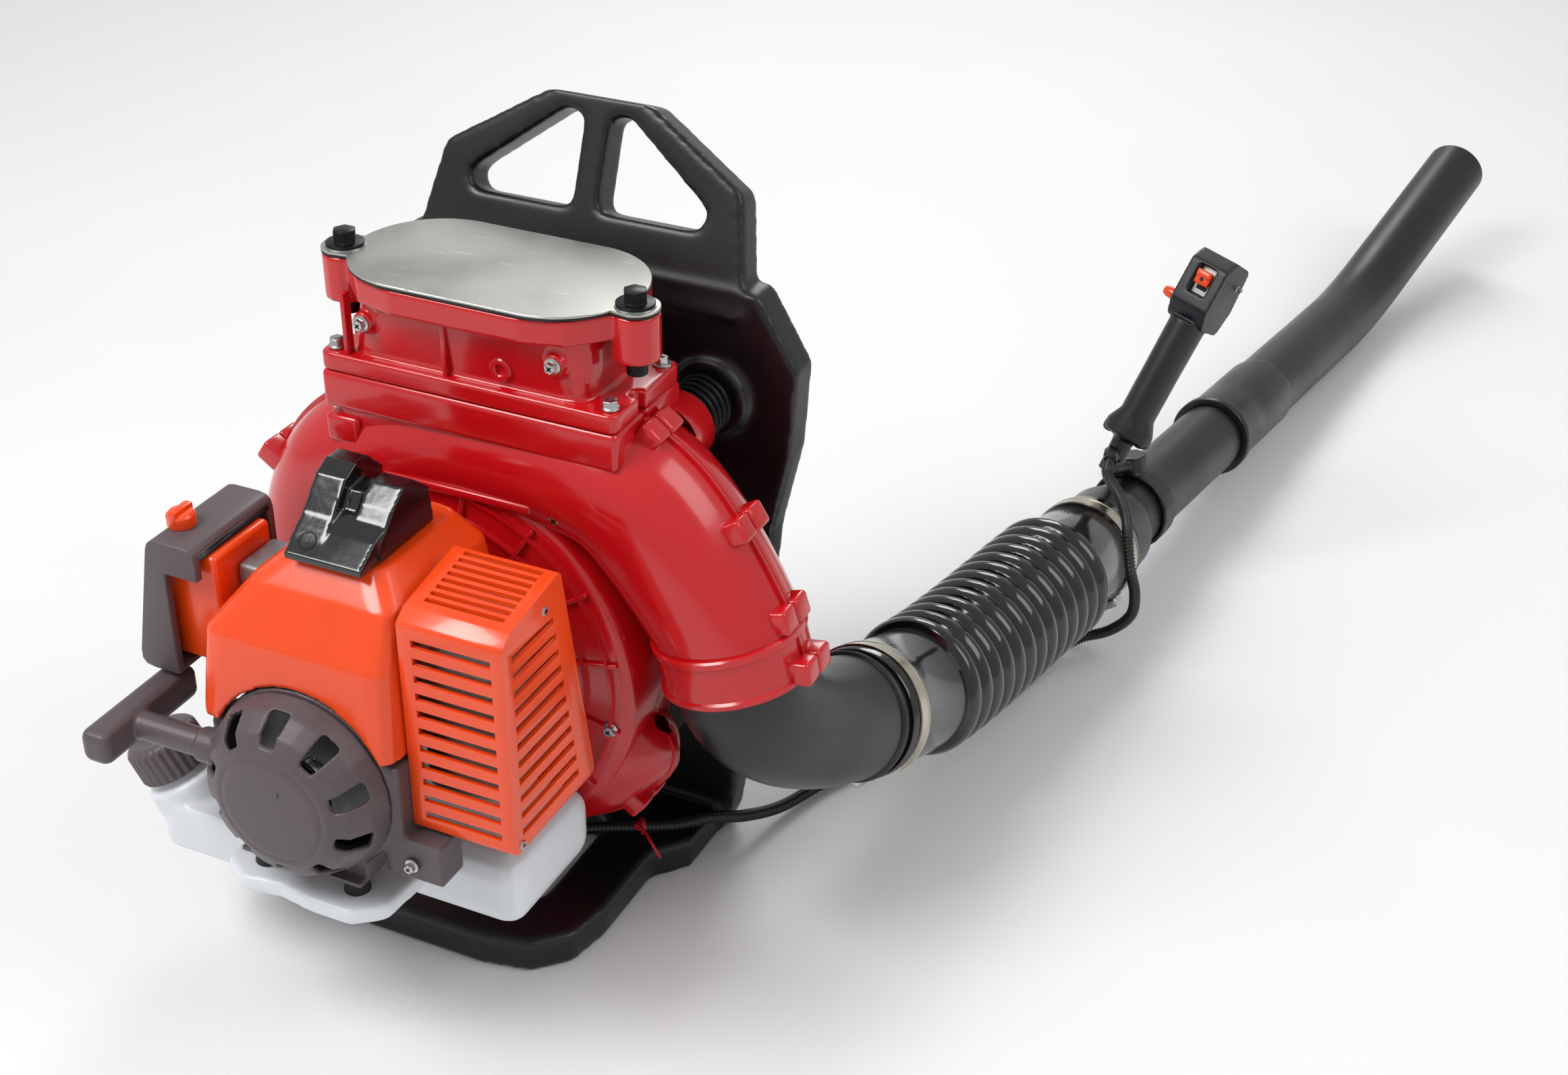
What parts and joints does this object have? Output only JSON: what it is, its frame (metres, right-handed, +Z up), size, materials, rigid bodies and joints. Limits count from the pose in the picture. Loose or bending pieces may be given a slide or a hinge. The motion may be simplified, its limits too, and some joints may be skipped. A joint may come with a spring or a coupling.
{
  "type": "backpack leaf blower",
  "caption": "Backpack leaf blower: frame with straps, spiral fan housing, two-stroke engine with tank and recoil starter, elbow, corrugated hose and tube with throttle handle.",
  "frame": {"origin": "on the floor, under the middle of the upright's front face", "axes": "+Z up; +Y forwards through the back pad, along the blower tube; +X to the wearer's right"},
  "size_m": [0.6044, 1.6109, 0.5215],
  "materials": {
    "frame_black": "black moulded plastic with a satin shine",
    "tube_black": "black moulded plastic, semi-gloss",
    "hose_black": "black flexible plastic, glossy",
    "red_moulding": "glossy red moulded plastic",
    "orange_moulding": "glossy orange-red moulded plastic",
    "engine_grey": "warm dark grey moulded plastic, fine texture",
    "tank_white": "translucent white blow-moulded plastic",
    "rubber": "matt black rubber",
    "zinc_steel": "zinc-plated steel",
    "plate_steel": "rolled steel sheet",
    "black_steel": "black oxide steel",
    "cast_alloy": "die-cast aluminium",
    "webbing": "black woven nylon"
  },
  "bodies": {
    "root": {"back_frame": "frame_black", "back_pad": "webbing", "shoulder_strap_left": "webbing", "shoulder_strap_right": "webbing", "isolator_spring_left": "zinc_steel", "isolator_spring_right": "zinc_steel", "isolator_rubber_left": "rubber", "isolator_rubber_right": "rubber", "volute_front": "red_moulding", "volute_rear": "red_moulding", "adapter_neck": "red_moulding", "plate_gasket": "rubber", "blanking_plate": "plate_steel", "plate_bolt_left": "black_steel", "plate_bolt_right": "black_steel", "flange_screw_left": "zinc_steel", "flange_screw_right": "zinc_steel", "crankcase": "cast_alloy", "cylinder": "cast_alloy", "muffler": "plate_steel", "fan_housing": "engine_grey", "starter_cover": "engine_grey", "starter_rope": "webbing", "engine_cover": "orange_moulding", "muffler_guard": "orange_moulding", "spark_plug_cover": "rubber", "carburettor": "cast_alloy", "air_filter_body": "orange_moulding", "air_filter_cover": "engine_grey", "primer_bulb": "rubber", "fuel_tank": "tank_white", "tank_mount_left": "rubber", "tank_mount_right": "rubber", "conduit_frame": "hose_black", "conduit_gland": "rubber"},
    "rotor": {"impeller": "tube_black", "crankshaft": "plate_steel", "flywheel": "cast_alloy"},
    "pulley": {"starter_pulley": "tube_black"},
    "pull_grip": {"starter_grip": "engine_grey"},
    "filter_knob": {"air_filter_knob": "orange_moulding"},
    "choke": {"choke_lever": "tube_black"},
    "tank_cap": {"fuel_cap": "engine_grey"},
    "elbow_body": {"elbow": "tube_black", "hose_clamp_near": "zinc_steel", "corrugated_hose": "hose_black", "conduit_hose": "hose_black"},
    "tube_body": {"hose_clamp_far": "zinc_steel", "handle_tube": "tube_black", "handle_clamp": "tube_black", "handle_grip": "tube_black", "straight_tube": "tube_black", "conduit_tube": "hose_black"},
    "nozzle_body": {"nozzle": "tube_black"},
    "switch": {"stop_switch": "orange_moulding"},
    "cruise_lever": {"throttle_lever": "orange_moulding"},
    "trigger": {"throttle_trigger": "red_moulding"}
  },
  "joints": [
    {"name": "rotor_spin", "type": "hinge", "parent": "root", "child": "rotor", "pos_m": [-0.03, -0.097, 0.2], "axis": [0, 1, 0], "continuous": true},
    {"name": "starter_pull", "type": "slide", "parent": "root", "child": "pull_grip", "axis": [-1, 0, 0], "range_m": [0, 0.6], "stiffness_N_per_m": 15, "springref_m": -0.3, "deforming": ["starter_rope"]},
    {"name": "pulley_turn", "type": "hinge", "parent": "root", "child": "pulley", "pos_m": [-0.03, -0.305, 0.2], "axis": [0, 1, 0], "range_deg": [-1600, 0]},
    {"name": "filter_knob_turn", "type": "hinge", "parent": "root", "child": "filter_knob", "pos_m": [-0.138, -0.238, 0.322], "axis": [0, 0, 1], "range_deg": [0, 720]},
    {"name": "choke_turn", "type": "hinge", "parent": "root", "child": "choke", "pos_m": [-0.089, -0.195, 0.288], "axis": [0, -1, 0], "range_deg": [0, 60]},
    {"name": "tank_cap_turn", "type": "hinge", "parent": "root", "child": "tank_cap", "pos_m": [-0.166, -0.236, 0.122], "axis": [-0.4198, -0.12, 0.8996], "range_deg": [0, 720]},
    {"name": "elbow_swivel", "type": "hinge", "parent": "root", "child": "elbow_body", "pos_m": [0.164, -0.097, 0.218], "axis": [0.2351, 0, -0.972], "range_deg": [-10, 45], "deforming": ["conduit_hose"]},
    {"name": "hose_bend", "type": "hinge", "parent": "elbow_body", "child": "tube_body", "pos_m": [0.223, 0.1965, 0.09775], "axis": [0.9889, -0.1485, 0], "range_deg": [0, 35], "deforming": ["corrugated_hose"]},
    {"name": "nozzle_turn", "type": "hinge", "parent": "tube_body", "child": "nozzle_body", "pos_m": [0.28982, 0.72973, 0.05179], "axis": [0.113, 0.9912, -0.0695], "range_deg": [-60, 60]},
    {"name": "stop_switch_rock", "type": "hinge", "parent": "tube_body", "child": "switch", "pos_m": [0.2922, 0.48374, 0.27537], "axis": [0.94, -0.2874, -0.184], "range_deg": [-12, 12]},
    {"name": "throttle_lever_turn", "type": "hinge", "parent": "tube_body", "child": "cruise_lever", "pos_m": [0.27592, 0.49175, 0.25037], "axis": [-0.171, -0.8634, 0.4746], "range_deg": [0, 35]},
    {"name": "trigger_squeeze", "type": "hinge", "parent": "tube_body", "child": "trigger", "pos_m": [0.29125, 0.50049, 0.24439], "axis": [0.94, -0.2874, -0.184], "range_deg": [0, 10], "stiffness_Nm_per_rad": 0.2, "springref_deg": -11.46}
  ],
  "couplings": [
    {"joint": "pulley_turn", "follows": "starter_pull", "rad_per_m": -45.45}
  ]
}
